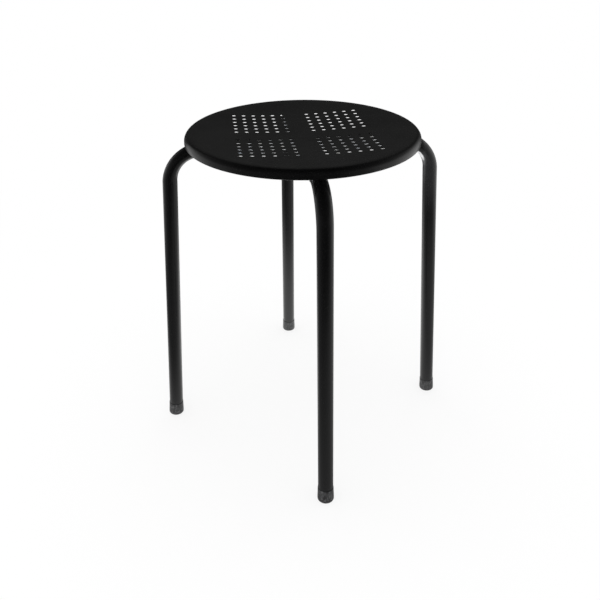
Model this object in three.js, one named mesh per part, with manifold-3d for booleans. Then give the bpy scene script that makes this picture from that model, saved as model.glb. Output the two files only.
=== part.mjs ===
// A stacking stool: a dished, pierced steel seat on four bent tube legs.
// Millimetres, +Z up. The origin is on the floor, under the middle of the seat.
// The legs stand on the X and Y axes, front on -Y, and run in under the seat to a channel cross,
// where two screws hold each of them.
import * as THREE from "three";
import { mergeVertices } from "three/addons/utils/BufferGeometryUtils.js";
import Module from "manifold-3d";

const wasm = await Module();
wasm.setup();

// Whole stool
const seatHeight = 450;
const seatRadius = 158;
const footRadius = 202; // from the stool's axis to the middle of each foot, on the floor
const legTopRadius = 178.5; // the same at the height where the leg's line meets its run

// Clearances
const seatingGap = 0.3; // between faces that touch
const channelClearance = 0.4; // between a leg's run and the flanges on each side of it
const cutOverrun = 5; // how far every cutter reaches past what it cuts

// Seat pan
const panSheet = 1.2;
const dishDepth = 8;
const landWidth = 4; // the level ring between the dish and the rim's curve
const rimCurveRadius = 8;
const rimDepth = 12; // from the land to the rim's lower edge
const hemHeight = 4; // the edge is folded back inwards on itself
const hemEdgeRound = 0.8;
const holeRadius = 2.75;
const holePitch = 14;
const holeOffset = 18; // from the seat's centre lines to the nearest rows of holes
const holesPerSide = 6;

// Channel cross
const channelSheet = 1.5;
const channelDepth = 18; // from the top of the web to the lower edge of the flanges
const armLength = 118; // from the stool's axis to the end of each arm's flanges
const tabWidth = 16;
const tabRun = 7; // the sloping stretch of the weld tab at each arm's end
const padLength = 12; // the stretch of the tab that lies under the seat
const collarHeight = 3; // the tapped collars drawn down from the web
const collarWall = 1.4;

// Legs
const tubeRadius = 10;
const tubeWall = 1.2;
const bendRadius = 46; // at the tube's centre line
const bendFlatShare = 0.1; // how much the tube is flattened half way round its bend
const bendSpreadShare = 0.03; // and how much wider it gets there
const innerEndGap = 4; // between the sides of one leg and the plugged end of the next

// Foot caps
const capHeight = 19;
const capSole = 3;
const capWall = 0.9; // at the mouth
const capFlare = 0.5; // more wall at the sole than at the mouth
const capEdgeRound = 1.6;
const capMouthRound = 0.4;

// End plugs
const plugFlange = 2;
const plugDepth = 12;
const plugChamfer = 1;

// Screws and saddle washers
const screwRadius = 3;
const innerScrewRadius = 46; // from the stool's axis
const outerScrewInset = 12; // from the end of each arm's flanges
const screwHeadRadius = 5.25;
const screwHeadHeight = 3.3;
const headEdgeShare = 0.25; // height of the head's straight edge, as a share of the head
const headFaceShare = 0.62; // radius of the head's flat face, as a share of the head
const socketAcrossFlats = 4;
const socketDepth = 2;
const screwTipChamfer = 0.8;
const washerRadius = 7;
const washerThickness = 2; // under the middle of the tube

// Facets
const panSides = 44;
const dishRings = 3;
const rimSteps = 4;
const tubeSides = 16;
const bendSteps = 10;
const holeSides = 8;
const boreSides = 12;
const capSides = 20;
const hexSides = 6;

// Heights and radii that follow
const dishRadius = seatRadius - rimCurveRadius - landWidth;
const panUnderside = seatHeight - dishDepth - panSheet;
const crossTop = panUnderside - seatingGap;
const crossUnderside = crossTop - channelSheet;
const runHeight = crossUnderside - seatingGap - tubeRadius;
const splay = Math.atan2(footRadius - legTopRadius, runHeight);
const bendTurn = Math.PI / 2 - splay;
const bendTangent = bendRadius * Math.tan(bendTurn / 2);
const plugFace = tubeRadius + innerEndGap;
const runStart = plugFace + plugFlange + seatingGap;
const bendCentre = new THREE.Vector2(legTopRadius - bendTangent, runHeight - bendRadius);
const channelHalf = tubeRadius + channelClearance + channelSheet;
const outerScrewRadius = armLength - outerScrewInset;
const washerBottom = runHeight - tubeRadius - seatingGap - washerThickness;
const quarterTurn = Math.PI / 2;

// Finishes
const blackPowderCoat = new THREE.MeshStandardMaterial({
  color: 0x1b1b1c,
  roughness: 0.42,
  metalness: 0.1,
});
const zincPlate = new THREE.MeshStandardMaterial({
  color: 0xb9bdc1,
  roughness: 0.34,
  metalness: 1,
});
const greyPlastic = new THREE.MeshStandardMaterial({
  color: 0x5a5b5d,
  roughness: 0.62,
  metalness: 0,
});
const blackPlastic = new THREE.MeshStandardMaterial({
  color: 0x161617,
  roughness: 0.6,
  metalness: 0,
});

// Solids

// A closed geometry as a solid, for cutting and joining.
function solidOf(geometry) {
  const bare = geometry.clone();
  bare.deleteAttribute("normal");
  bare.deleteAttribute("uv");
  const merged = mergeVertices(bare);
  return new wasm.Manifold(
    new wasm.Mesh({
      numProp: 3,
      vertProperties: new Float32Array(merged.attributes.position.array),
      triVerts: new Uint32Array(merged.index.array),
    }),
  );
}

function geometryOf(solid) {
  const mesh = solid.getMesh();
  const geometry = new THREE.BufferGeometry();
  geometry.setAttribute("position", new THREE.BufferAttribute(mesh.vertProperties, 3));
  geometry.setIndex(new THREE.BufferAttribute(mesh.triVerts, 1));
  const flat = geometry.toNonIndexed();
  flat.computeVertexNormals();
  return flat;
}

function cutFrom(geometry, cutters) {
  let solid = solidOf(geometry);
  for (const cutter of cutters) solid = solid.subtract(solidOf(cutter));
  return solid;
}

function joined(geometries) {
  return geometries.map(solidOf).reduce((whole, piece) => whole.add(piece));
}

// A turned solid on the Z axis, from a profile of [radius, height] pairs that starts and ends on
// the axis and keeps the material on its left.
function turned(profile, sides) {
  const points = profile.map(([radius, height]) => new THREE.Vector2(radius, height));
  return new THREE.LatheGeometry(points, sides).rotateX(quarterTurn);
}

// An upright prism of a regular section, centred on x and y, between two heights.
function prism(radius, sides, x, y, low, high) {
  const rod = new THREE.CylinderGeometry(radius, radius, high - low, sides);
  return rod.rotateX(quarterTurn).translate(x, y, (low + high) / 2);
}

// A box between two corners.
function slab(lowX, lowY, lowZ, highX, highY, highZ) {
  const box = new THREE.BoxGeometry(highX - lowX, highY - lowY, highZ - lowZ);
  return box.translate((lowX + highX) / 2, (lowY + highY) / 2, (lowZ + highZ) / 2);
}

function circlePoints(radius, sides) {
  const points = [];
  for (let i = 0; i < sides; i += 1) {
    const angle = (2 * Math.PI * i) / sides;
    points.push(new THREE.Vector2(radius * Math.cos(angle), radius * Math.sin(angle)));
  }
  return points;
}

// Seat pan

function dishHeight(radius) {
  return seatHeight - dishDepth + dishDepth * (radius / dishRadius) ** 2;
}

function seatPanSolid() {
  const rimBottom = seatHeight - rimDepth;
  const curveHeight = seatHeight - rimCurveRadius;
  const curveStart = seatRadius - rimCurveRadius;
  const innerCurve = rimCurveRadius - panSheet;
  const hemInner = seatRadius - 2 * panSheet;
  const under = [[0, panUnderside]];
  const over = [];
  for (let ring = 1; ring <= dishRings; ring += 1) {
    const radius = (dishRadius * ring) / dishRings;
    under.push([radius, dishHeight(radius) - panSheet]);
  }
  for (let step = 0; step <= rimSteps; step += 1) {
    const angle = (quarterTurn * step) / rimSteps;
    under.push([
      curveStart + innerCurve * Math.sin(angle),
      curveHeight + innerCurve * Math.cos(angle),
    ]);
  }
  const hem = [
    [seatRadius - panSheet, rimBottom + hemHeight + panSheet],
    [hemInner, rimBottom + hemHeight],
    [hemInner, rimBottom + hemEdgeRound],
    [hemInner + hemEdgeRound, rimBottom],
    [seatRadius - hemEdgeRound, rimBottom],
    [seatRadius, rimBottom + hemEdgeRound],
  ];
  for (let step = rimSteps; step >= 0; step -= 1) {
    const angle = (quarterTurn * step) / rimSteps;
    over.push([
      curveStart + rimCurveRadius * Math.sin(angle),
      curveHeight + rimCurveRadius * Math.cos(angle),
    ]);
  }
  for (let ring = dishRings; ring >= 1; ring -= 1) {
    const radius = (dishRadius * ring) / dishRings;
    over.push([radius, dishHeight(radius)]);
  }
  over.push([0, seatHeight - dishDepth]);

  // Four square groups of holes, one in each quarter between the arms of the cross.
  const cutters = [];
  for (const sideX of [-1, 1]) {
    for (const sideY of [-1, 1]) {
      for (let row = 0; row < holesPerSide; row += 1) {
        for (let column = 0; column < holesPerSide; column += 1) {
          const x = sideX * (holeOffset + holePitch * column);
          const y = sideY * (holeOffset + holePitch * row);
          const low = panUnderside - cutOverrun;
          cutters.push(prism(holeRadius, holeSides, x, y, low, seatHeight + cutOverrun));
        }
      }
    }
  }
  return cutFrom(turned([...under, ...hem, ...over], panSides), cutters);
}

// Channel cross

// The strip at an arm's end that steps up to the underside of the dish, along +X.
function weldTab() {
  const padStart = armLength + tabRun;
  const padEnd = padStart + padLength;
  const padTop = (radius) => dishHeight(radius) - panSheet - seatingGap;
  const side = new THREE.Shape([
    new THREE.Vector2(armLength - tabRun, crossUnderside),
    new THREE.Vector2(armLength, crossUnderside),
    new THREE.Vector2(padStart, padTop(padStart) - channelSheet),
    new THREE.Vector2(padEnd, padTop(padEnd) - channelSheet),
    new THREE.Vector2(padEnd, padTop(padEnd)),
    new THREE.Vector2(padStart, padTop(padStart)),
    new THREE.Vector2(armLength, crossTop),
    new THREE.Vector2(armLength - tabRun, crossTop),
  ]);
  const strip = new THREE.ExtrudeGeometry(side, { depth: tabWidth, bevelEnabled: false });
  return strip.translate(0, 0, -tabWidth / 2).rotateX(quarterTurn);
}

// One arm along +X: its half of the web, two flanges, two collars and a weld tab.
function crossArm() {
  const flangeBottom = crossTop - channelDepth;
  const flangeInner = channelHalf - channelSheet;
  const pieces = [slab(0, -channelHalf, crossUnderside, armLength, channelHalf, crossTop)];
  pieces.push(slab(flangeInner, flangeInner, flangeBottom, armLength, channelHalf, crossTop));
  pieces.push(slab(flangeInner, -channelHalf, flangeBottom, armLength, -flangeInner, crossTop));
  for (const place of [innerScrewRadius, outerScrewRadius]) {
    const collarRadius = screwRadius + seatingGap + collarWall;
    const low = crossUnderside - collarHeight;
    pieces.push(prism(collarRadius, boreSides, place, 0, low, crossTop));
  }
  pieces.push(weldTab());
  return joined(pieces);
}

function channelCrossSolid() {
  const arm = geometryOf(crossArm());
  const arms = [0, 1, 2, 3].map((turn) => arm.clone().rotateZ(turn * quarterTurn));
  let cross = joined(arms);
  for (const turn of [0, 1, 2, 3]) {
    for (const place of [innerScrewRadius, outerScrewRadius]) {
      const low = crossUnderside - collarHeight - cutOverrun;
      const bore = prism(screwRadius + seatingGap, boreSides, place, 0, low, crossTop + cutOverrun);
      cross = cross.subtract(solidOf(bore.rotateZ(turn * quarterTurn)));
    }
  }
  return cross;
}

// Legs, all made along +X and turned into place

// The place on a leg's line at a distance from the floor point of its foot.
function legPoint(distance) {
  return new THREE.Vector2(
    footRadius - distance * Math.sin(splay),
    distance * Math.cos(splay),
  );
}

// The centre line of a leg: a level run, the bend and the splayed leg. Its steps are even in the
// bend, and each straight stretch is a single step.
class LegLine extends THREE.Curve {
  getPoint(t) {
    const place = t * (bendSteps + 2);
    const bendStart = new THREE.Vector2(bendCentre.x, runHeight);
    if (place <= 1) {
      return new THREE.Vector3(runStart + (bendStart.x - runStart) * place, 0, runHeight);
    }
    if (place <= 1 + bendSteps) {
      const angle = (bendTurn * (place - 1)) / bendSteps;
      return new THREE.Vector3(
        bendCentre.x + bendRadius * Math.sin(angle),
        0,
        bendCentre.y + bendRadius * Math.cos(angle),
      );
    }
    const bendEnd = new THREE.Vector2(
      bendCentre.x + bendRadius * Math.sin(bendTurn),
      bendCentre.y + bendRadius * Math.cos(bendTurn),
    );
    const foot = legPoint(capSole + seatingGap);
    const along = place - 1 - bendSteps;
    const point = bendEnd.lerp(foot, along);
    return new THREE.Vector3(point.x, 0, point.y);
  }

  getUtoTmapping(u) {
    return u;
  }
}

// Flattens the tube round its bend, most of all half way round.
function flattenBend(geometry) {
  const places = geometry.attributes.position;
  for (let i = 0; i < places.count; i += 1) {
    const across = places.getX(i) - bendCentre.x;
    const up = places.getZ(i) - bendCentre.y;
    const angle = Math.atan2(across, up);
    if (angle > 0 && angle < bendTurn && Math.hypot(across, up) < bendRadius + 2 * tubeRadius) {
      const amount = Math.sin((Math.PI * angle) / bendTurn);
      const offset = Math.hypot(across, up) - bendRadius;
      const reach = bendRadius + offset * (1 - bendFlatShare * amount);
      places.setXYZ(
        i,
        bendCentre.x + reach * Math.sin(angle),
        places.getY(i) * (1 + bendSpreadShare * amount),
        bendCentre.y + reach * Math.cos(angle),
      );
    }
  }
  return geometry;
}

function legSolid() {
  const section = new THREE.Shape(circlePoints(tubeRadius, tubeSides));
  section.holes.push(new THREE.Path(circlePoints(tubeRadius - tubeWall, tubeSides).reverse()));
  const tube = new THREE.ExtrudeGeometry(section, {
    steps: bendSteps + 2,
    extrudePath: new LegLine(),
  });
  const cutters = [];
  for (const place of [innerScrewRadius, outerScrewRadius]) {
    const collarHole = screwRadius + collarWall + 2 * seatingGap;
    const top = runHeight + tubeRadius + cutOverrun;
    const bottom = runHeight - tubeRadius - cutOverrun;
    cutters.push(prism(collarHole, boreSides, place, 0, runHeight, top));
    cutters.push(prism(screwRadius + seatingGap, boreSides, place, 0, bottom, runHeight));
  }
  return cutFrom(flattenBend(tube), cutters);
}

// Foot cap: a cup pushed over the end of the leg, with its sole cut level with the floor.
function footCapSolid() {
  const mouth = tubeRadius + seatingGap;
  const outerTop = mouth + capWall;
  const outerBottom = outerTop + capFlare;
  const soleDrop = outerBottom * Math.tan(splay);
  const cup = turned(
    [
      [0, -soleDrop],
      [outerBottom - capEdgeRound, -soleDrop],
      [outerBottom, capEdgeRound - soleDrop],
      [outerTop, capHeight - capMouthRound],
      [outerTop - capMouthRound, capHeight],
      [mouth, capHeight],
      [mouth, capSole],
      [0, capSole],
    ],
    capSides,
  );
  cup.rotateY(-splay).translate(footRadius, 0, 0);
  const reach = outerBottom + cutOverrun;
  const belowFloor = slab(
    footRadius - reach,
    -reach,
    -cutOverrun,
    footRadius + reach,
    reach,
    0,
  );
  return cutFrom(cup, [belowFloor]);
}

// End plug: a flanged plug in the inner end of the leg.
function endPlugSolid() {
  const spigot = tubeRadius - tubeWall - seatingGap;
  const plug = turned(
    [
      [0, 0],
      [tubeRadius - plugChamfer / 2, 0],
      [tubeRadius, plugChamfer / 2],
      [tubeRadius, plugFlange],
      [spigot, plugFlange],
      [spigot, plugFlange + plugDepth - plugChamfer],
      [spigot - plugChamfer, plugFlange + plugDepth],
      [0, plugFlange + plugDepth],
    ],
    tubeSides,
  );
  return solidOf(plug.rotateY(quarterTurn).translate(plugFace, 0, runHeight));
}

// Saddle washer: flat below for the screw's head, hollowed above to the curve of the tube.
function saddleWasherSolid() {
  const hollow = tubeRadius + seatingGap;
  const washerTop = runHeight - Math.sqrt(hollow ** 2 - washerRadius ** 2) - seatingGap;
  const disc = prism(washerRadius, boreSides, 0, 0, washerBottom, washerTop);
  const length = 2 * (washerRadius + cutOverrun);
  const saddle = new THREE.CylinderGeometry(hollow, hollow, length, 2 * tubeSides);
  const bore = prism(
    screwRadius + seatingGap,
    boreSides,
    0,
    0,
    washerBottom - cutOverrun,
    washerTop + cutOverrun,
  );
  return cutFrom(disc, [saddle.rotateZ(quarterTurn).translate(0, 0, runHeight), bore]);
}

// Screw: a button head with a hexagon socket, pointing up through the leg into its collar.
function screwSolid() {
  const seat = washerBottom - seatingGap;
  const face = seat - screwHeadHeight;
  const body = turned(
    [
      [0, face],
      [screwHeadRadius * headFaceShare, face],
      [screwHeadRadius, seat - screwHeadHeight * headEdgeShare],
      [screwHeadRadius, seat],
      [screwRadius, seat],
      [screwRadius, crossTop - screwTipChamfer],
      [screwRadius - screwTipChamfer, crossTop],
      [0, crossTop],
    ],
    boreSides,
  );
  const socketRadius = socketAcrossFlats / 2 / Math.cos(Math.PI / hexSides);
  return cutFrom(body, [prism(socketRadius, hexSides, 0, 0, face - cutOverrun, face + socketDepth)]);
}

// Assembly
const stool = new THREE.Group();

function addMesh(group, name, geometry, material) {
  const mesh = new THREE.Mesh(geometry, material);
  mesh.name = name;
  group.add(mesh);
  return mesh;
}

addMesh(stool, "seat_pan", geometryOf(seatPanSolid()), blackPowderCoat);
addMesh(stool, "channel_cross", geometryOf(channelCrossSolid()), zincPlate);

const legGeometry = geometryOf(legSolid());
const capGeometry = geometryOf(footCapSolid());
const plugGeometry = geometryOf(endPlugSolid());
const washerGeometry = geometryOf(saddleWasherSolid());
const screwGeometry = geometryOf(screwSolid());
const screwPlaces = { inner: innerScrewRadius, outer: outerScrewRadius };

["right", "back", "left", "front"].forEach((side, turn) => {
  const corner = new THREE.Group();
  corner.rotation.z = turn * quarterTurn;
  addMesh(corner, `leg_${side}`, legGeometry, blackPowderCoat);
  addMesh(corner, `foot_cap_${side}`, capGeometry, greyPlastic);
  addMesh(corner, `end_plug_${side}`, plugGeometry, blackPlastic);
  for (const [row, place] of Object.entries(screwPlaces)) {
    const washer = addMesh(corner, `saddle_washer_${row}_${side}`, washerGeometry, zincPlate);
    const screw = addMesh(corner, `leg_screw_${row}_${side}`, screwGeometry, zincPlate);
    washer.position.x = place;
    screw.position.x = place;
  }
  stool.add(corner);
});

export default stool;
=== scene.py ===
# A stacking stool: a dished, pierced steel seat on four bent tube legs, in its studio.
# Metres, +Z up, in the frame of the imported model. The legs' pieces are made along +X and turned
# into place: right, back, left, front.
import math

import bmesh
import bpy
from bmesh.types import BMEdge, BMVert
from mathutils import Matrix, Vector

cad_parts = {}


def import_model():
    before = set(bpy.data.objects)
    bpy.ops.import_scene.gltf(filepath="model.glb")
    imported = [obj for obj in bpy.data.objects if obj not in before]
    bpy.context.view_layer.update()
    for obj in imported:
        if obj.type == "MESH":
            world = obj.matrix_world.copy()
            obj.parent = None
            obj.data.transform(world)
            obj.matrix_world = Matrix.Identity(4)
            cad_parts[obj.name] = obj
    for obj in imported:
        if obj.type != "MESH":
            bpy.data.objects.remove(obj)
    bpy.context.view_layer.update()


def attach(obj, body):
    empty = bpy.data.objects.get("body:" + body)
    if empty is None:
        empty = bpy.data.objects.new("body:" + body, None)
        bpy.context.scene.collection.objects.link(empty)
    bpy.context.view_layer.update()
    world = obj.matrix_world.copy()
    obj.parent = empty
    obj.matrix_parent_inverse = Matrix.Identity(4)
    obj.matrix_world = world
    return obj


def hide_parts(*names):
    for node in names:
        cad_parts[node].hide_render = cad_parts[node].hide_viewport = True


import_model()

MM = 0.001
MERGE = 0.001 * MM
SIDES = ["right", "back", "left", "front"]

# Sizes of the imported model
SEAT_HEIGHT = 450 * MM
SEAT_RADIUS = 158 * MM
FOOT_RADIUS = 202 * MM
LEG_TOP_RADIUS = 178.5 * MM
GAP = 0.3 * MM
PAN_SHEET = 1.2 * MM
DISH_DEPTH = 8 * MM
RIM_CURVE = 8 * MM
RIM_DEPTH = 12 * MM
LAND_WIDTH = 4 * MM
HEM_HEIGHT = 4 * MM
HOLE_PITCH = 14 * MM
HOLE_OFFSET = 18 * MM
HOLES = 6
CHANNEL_SHEET = 1.5 * MM
CHANNEL_DEPTH = 18 * MM
CHANNEL_CLEARANCE = 0.4 * MM
ARM_LENGTH = 118 * MM
TAB_WIDTH = 16 * MM
TAB_RUN = 7 * MM
PAD_LENGTH = 12 * MM
COLLAR_HEIGHT = 3 * MM
TUBE_RADIUS = 10 * MM
TUBE_WALL = 1.2 * MM
BEND_RADIUS = 46 * MM
CAP_HEIGHT = 19 * MM
CAP_SOLE = 3 * MM
PLUG_FACE = 14 * MM
PLUG_FLANGE = 2 * MM
PLUG_DEPTH = 12 * MM
SCREW_RADIUS = 3 * MM
SCREW_PLACES = {"inner": 46 * MM, "outer": 106 * MM}
HEAD_RADIUS = 5.25 * MM
HEAD_HEIGHT = 3.3 * MM
SOCKET_FLATS = 4 * MM
SOCKET_DEPTH = 2 * MM
WASHER_RADIUS = 7 * MM
WASHER_THICKNESS = 2 * MM

# Lengths that follow from them
DISH_RADIUS = SEAT_RADIUS - RIM_CURVE - LAND_WIDTH
CROSS_TOP = SEAT_HEIGHT - DISH_DEPTH - PAN_SHEET - GAP
CROSS_UNDER = CROSS_TOP - CHANNEL_SHEET
RUN_HEIGHT = CROSS_UNDER - GAP - TUBE_RADIUS
SPLAY = math.atan2(FOOT_RADIUS - LEG_TOP_RADIUS, RUN_HEIGHT)
BEND_TURN = math.pi / 2 - SPLAY
BEND_X = LEG_TOP_RADIUS - BEND_RADIUS * math.tan(BEND_TURN / 2)
BEND_Z = RUN_HEIGHT - BEND_RADIUS
RUN_START = PLUG_FACE + PLUG_FLANGE + GAP
CHANNEL_HALF = TUBE_RADIUS + CHANNEL_CLEARANCE + CHANNEL_SHEET
SCREW_BORE = SCREW_RADIUS + GAP
WASHER_BOTTOM = RUN_HEIGHT - TUBE_RADIUS - GAP - WASHER_THICKNESS
SCREW_SEAT = WASHER_BOTTOM - GAP


# Nodes

class Graph:
    """The nodes of a material or of the world."""

    def __init__(self, owner):
        owner.use_nodes = True
        self.nodes = owner.node_tree.nodes
        self.links = owner.node_tree.links

    def place(self, coordinates):
        return self.nodes.new("ShaderNodeTexCoord").outputs[coordinates]

    def split(self, vector):
        node = self.nodes.new("ShaderNodeSeparateXYZ")
        self.links.new(vector, node.inputs["Vector"])
        return node.outputs

    def give(self, socket, value):
        """Sets a socket to a number, or links it to another node."""
        if isinstance(value, (int, float)):
            socket.default_value = value
        else:
            self.links.new(value, socket)

    def math(self, operation, first, second=0):
        node = self.nodes.new("ShaderNodeMath")
        node.operation = operation
        self.give(node.inputs[0], first)
        self.give(node.inputs[1], second)
        return node.outputs["Value"]

    def times(self, first, second):
        return self.math("MULTIPLY", first, second)

    def plus(self, first, second):
        return self.math("ADD", first, second)

    def reach(self, x, y):
        """The distance of a place from the origin, on the level."""
        return self.math("SQRT", self.plus(self.math("POWER", x, 2), self.math("POWER", y, 2)))

    def ranged(self, value, source, target, smooth=False):
        """The value, moved from one range to another."""
        node = self.nodes.new("ShaderNodeMapRange")
        if smooth:
            node.interpolation_type = "SMOOTHSTEP"
        for name, number in zip(("From Min", "From Max", "To Min", "To Max"), (*source, *target)):
            node.inputs[name].default_value = number
        self.links.new(value, node.inputs["Value"])
        return node.outputs["Result"]

    def ramp(self, value, stops):
        """A level along the value, from [place, level] stops."""
        node = self.nodes.new("ShaderNodeValToRGB")
        node.color_ramp.interpolation = "EASE"
        elements = node.color_ramp.elements
        while len(elements) < len(stops):
            elements.new(1)
        for element, (place, level) in zip(elements, stops):
            element.position = place
            element.color = (level, level, level, 1)
        self.links.new(value, node.inputs["Fac"])
        return node.outputs["Color"]

    def light(self, kind, strength):
        """An Emission or a Background of plain white."""
        node = self.nodes.new("ShaderNode" + kind)
        node.inputs["Color"].default_value = (1, 1, 1, 1)
        self.give(node.inputs["Strength"], strength)
        return node.outputs[0]

    def either(self, share, first, second):
        """The first shader, or the second by as much as the share."""
        node = self.nodes.new("ShaderNodeMixShader")
        self.links.new(share, node.inputs["Fac"])
        self.links.new(first, node.inputs[1])
        self.links.new(second, node.inputs[2])
        return node.outputs["Shader"]

    def output(self, kind, shader):
        node = self.nodes.new("ShaderNodeOutput" + kind)
        self.links.new(shader, node.inputs["Surface"])


class Paint(Graph):
    """A procedural material under construction."""

    def __init__(self, name, color, roughness, metallic=0.0, specular=0.5):
        self.material = bpy.data.materials.new(name)
        super().__init__(self.material)
        self.shader = self.nodes["Principled BSDF"]
        self.shader.inputs["Base Color"].default_value = (*color, 1)
        self.shader.inputs["Roughness"].default_value = roughness
        self.shader.inputs["Metallic"].default_value = metallic
        self.shader.inputs["Specular IOR Level"].default_value = specular
        self.here = self.place("Object")

    def stretched(self, x, y, z):
        mapping = self.nodes.new("ShaderNodeMapping")
        mapping.inputs["Scale"].default_value = (x, y, z)
        self.links.new(self.here, mapping.inputs["Vector"])
        return mapping.outputs["Vector"]

    def noise(self, scale, detail, rough, place=None):
        node = self.nodes.new("ShaderNodeTexNoise")
        node.inputs["Scale"].default_value = scale
        node.inputs["Detail"].default_value = detail
        node.inputs["Roughness"].default_value = rough
        self.links.new(place or self.here, node.inputs["Vector"])
        return node.outputs["Fac"]

    def mixed(self, share, first, second):
        node = self.nodes.new("ShaderNodeMix")
        node.data_type = "RGBA"
        self.links.new(share, node.inputs["Factor"])
        for socket, value in ((node.inputs["A"], first), (node.inputs["B"], second)):
            if isinstance(value, tuple):
                socket.default_value = (*value, 1)
            else:
                self.links.new(value, socket)
        return node.outputs["Result"]

    def patch(self, centre, radii, lean, edge):
        """1 inside a soft-edged ellipsoid, and 0 outside it."""
        turned = self.nodes.new("ShaderNodeMapping")
        turned.vector_type = "TEXTURE"
        turned.inputs["Location"].default_value = centre
        turned.inputs["Rotation"].default_value = (0, math.radians(lean), 0)
        turned.inputs["Scale"].default_value = radii
        self.links.new(self.here, turned.inputs["Vector"])
        reach = self.nodes.new("ShaderNodeVectorMath")
        reach.operation = "LENGTH"
        self.links.new(turned.outputs["Vector"], reach.inputs[0])
        return self.ranged(reach.outputs["Value"], (edge, 1), (1, 0), smooth=True)

    def upward(self):
        return self.split(self.nodes.new("ShaderNodeNewGeometry").outputs["Normal"])["Z"]

    def facing(self):
        return self.nodes.new("ShaderNodeLayerWeight").outputs["Facing"]

    def bump(self, height, strength, distance, over=None):
        node = self.nodes.new("ShaderNodeBump")
        node.inputs["Strength"].default_value = strength
        node.inputs["Distance"].default_value = distance
        self.links.new(height, node.inputs["Height"])
        if over:
            self.links.new(over, node.inputs["Normal"])
        return node.outputs["Normal"]

    def feed(self, socket, value):
        self.links.new(value, self.shader.inputs[socket])


# Colours of the finishes
COAT_BLACK = (0.001, 0.001, 0.001)
COAT_DARK = (0.0007, 0.0007, 0.0007)
COAT_PALE = (0.0014, 0.0014, 0.0015)
DUST_SPECK = (0.016, 0.016, 0.0155)
# Partly settled dust and partly a painted sheen on the dish's upward faces.
DUST_AND_SHEEN_FILM = (0.0066, 0.0066, 0.0064)
# Painted light on the right leg's bend: a painted sheen, a painted highlight along its inside and
# a near-white painted glint.
BEND_PAINTED_SHEEN = (0.017, 0.017, 0.0175)
BEND_PAINTED_HIGHLIGHT = (0.09, 0.09, 0.092)
BEND_PAINTED_GLINT = (0.8, 0.8, 0.81)
PLATE_COLOR = (0.82, 0.835, 0.85)
HARDWARE_COLOR = (0.66, 0.675, 0.68)
ZINC_COOL = (0.86, 0.92, 1.0)
ZINC_WARM = (1.06, 1.04, 0.98)
CAP_GREY = (0.04, 0.04, 0.041)
CAP_DARK = (0.006, 0.006, 0.006)
CAP_PALE = (0.05, 0.05, 0.052)
CAP_STREAK = (0.005, 0.005, 0.005)
CAP_SCUFF = (0.1, 0.1, 0.102)
PLUG_BLACK = (0.012, 0.012, 0.013)
PLUG_DARK = (0.008, 0.008, 0.009)
PLUG_PALE = (0.018, 0.018, 0.019)

# Where most values of a noise lie
NOISE_SPREAD = (0.3, 0.7)

# Patches of the coat: middle, reach along x, y and z, lean in degrees, start of the soft edge
DISH_PATCH = ((0, 0, 0.446), (0.158, 0.158, 0.02), 0, 0.96)
# Where the painted sheen, the painted highlight and the painted glint lie on the right leg's
# bend.
PAINTED_SHEEN_PATCH = ((0.184, 0, 0.39), (0.03, 0.03, 0.085), 0, 0.3)
PAINTED_HIGHLIGHT_PATCH = ((0.1685, -0.003, 0.38), (0.0065, 0.011, 0.06), 0, 0.2)
PAINTED_GLINT_PATCH = ((0.1645, -0.005, 0.4045), (0.0042, 0.006, 0.0105), -33, 0.6)


def powder_coat():
    paint = Paint("black_powder_coat", COAT_BLACK, roughness=0.155)
    peel = paint.noise(scale=900, detail=3, rough=0.55)
    waves = paint.noise(scale=230, detail=3, rough=0.55)
    clouds = paint.noise(scale=14, detail=4, rough=0.6)
    specks = paint.ranged(paint.noise(scale=1300, detail=1, rough=0.4), (0.73, 0.78), (0, 1))
    black = paint.mixed(clouds, COAT_DARK, COAT_PALE)
    dusty = paint.mixed(specks, black, DUST_SPECK)

    # A pale film on the dish's upward faces: partly settled dust, partly a painted sheen in place
    # of the seat top's reflection.
    level = paint.ranged(paint.upward(), (0.93, 0.985), (0, 1))
    thickness = paint.ranged(paint.noise(scale=22, detail=5, rough=0.65), NOISE_SPREAD, (0.45, 1))
    dust_and_sheen = paint.times(paint.times(paint.patch(*DISH_PATCH), level), thickness)
    with_dust_and_sheen = paint.mixed(dust_and_sheen, dusty, DUST_AND_SHEEN_FILM)

    # Painted light on the right leg's bend: a painted sheen over all of it, a painted highlight
    # along its inside, and a near-white painted glint along its inner edge.
    with_painted_sheen = paint.mixed(paint.patch(*PAINTED_SHEEN_PATCH), with_dust_and_sheen, BEND_PAINTED_SHEEN)
    broken = paint.ranged(paint.noise(scale=420, detail=3, rough=0.6), (0.35, 0.6), (0.7, 1))
    painted_highlight_mask = paint.times(paint.patch(*PAINTED_HIGHLIGHT_PATCH), broken)
    # The near-white painted glint along the bend's inner edge, broken up by the noise.
    strip = paint.times(paint.patch(*PAINTED_GLINT_PATCH), broken)
    with_painted_highlight = paint.mixed(painted_highlight_mask, with_painted_sheen, BEND_PAINTED_HIGHLIGHT)
    paint.feed("Base Color", paint.mixed(strip, with_painted_highlight, BEND_PAINTED_GLINT))

    # The grain scatters light more where the surface is seen edge on.
    edge_on = paint.ranged(paint.facing(), (0.68, 0.9), (0, 0.5), smooth=True)
    satin = paint.ranged(clouds, NOISE_SPREAD, (0.135, 0.175))
    paint.feed("Roughness", paint.plus(satin, edge_on))
    soft = paint.bump(waves, strength=0.4, distance=0.2 * MM)
    paint.feed("Normal", paint.bump(peel, strength=0.4, distance=0.06 * MM, over=soft))
    return paint.material


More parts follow.
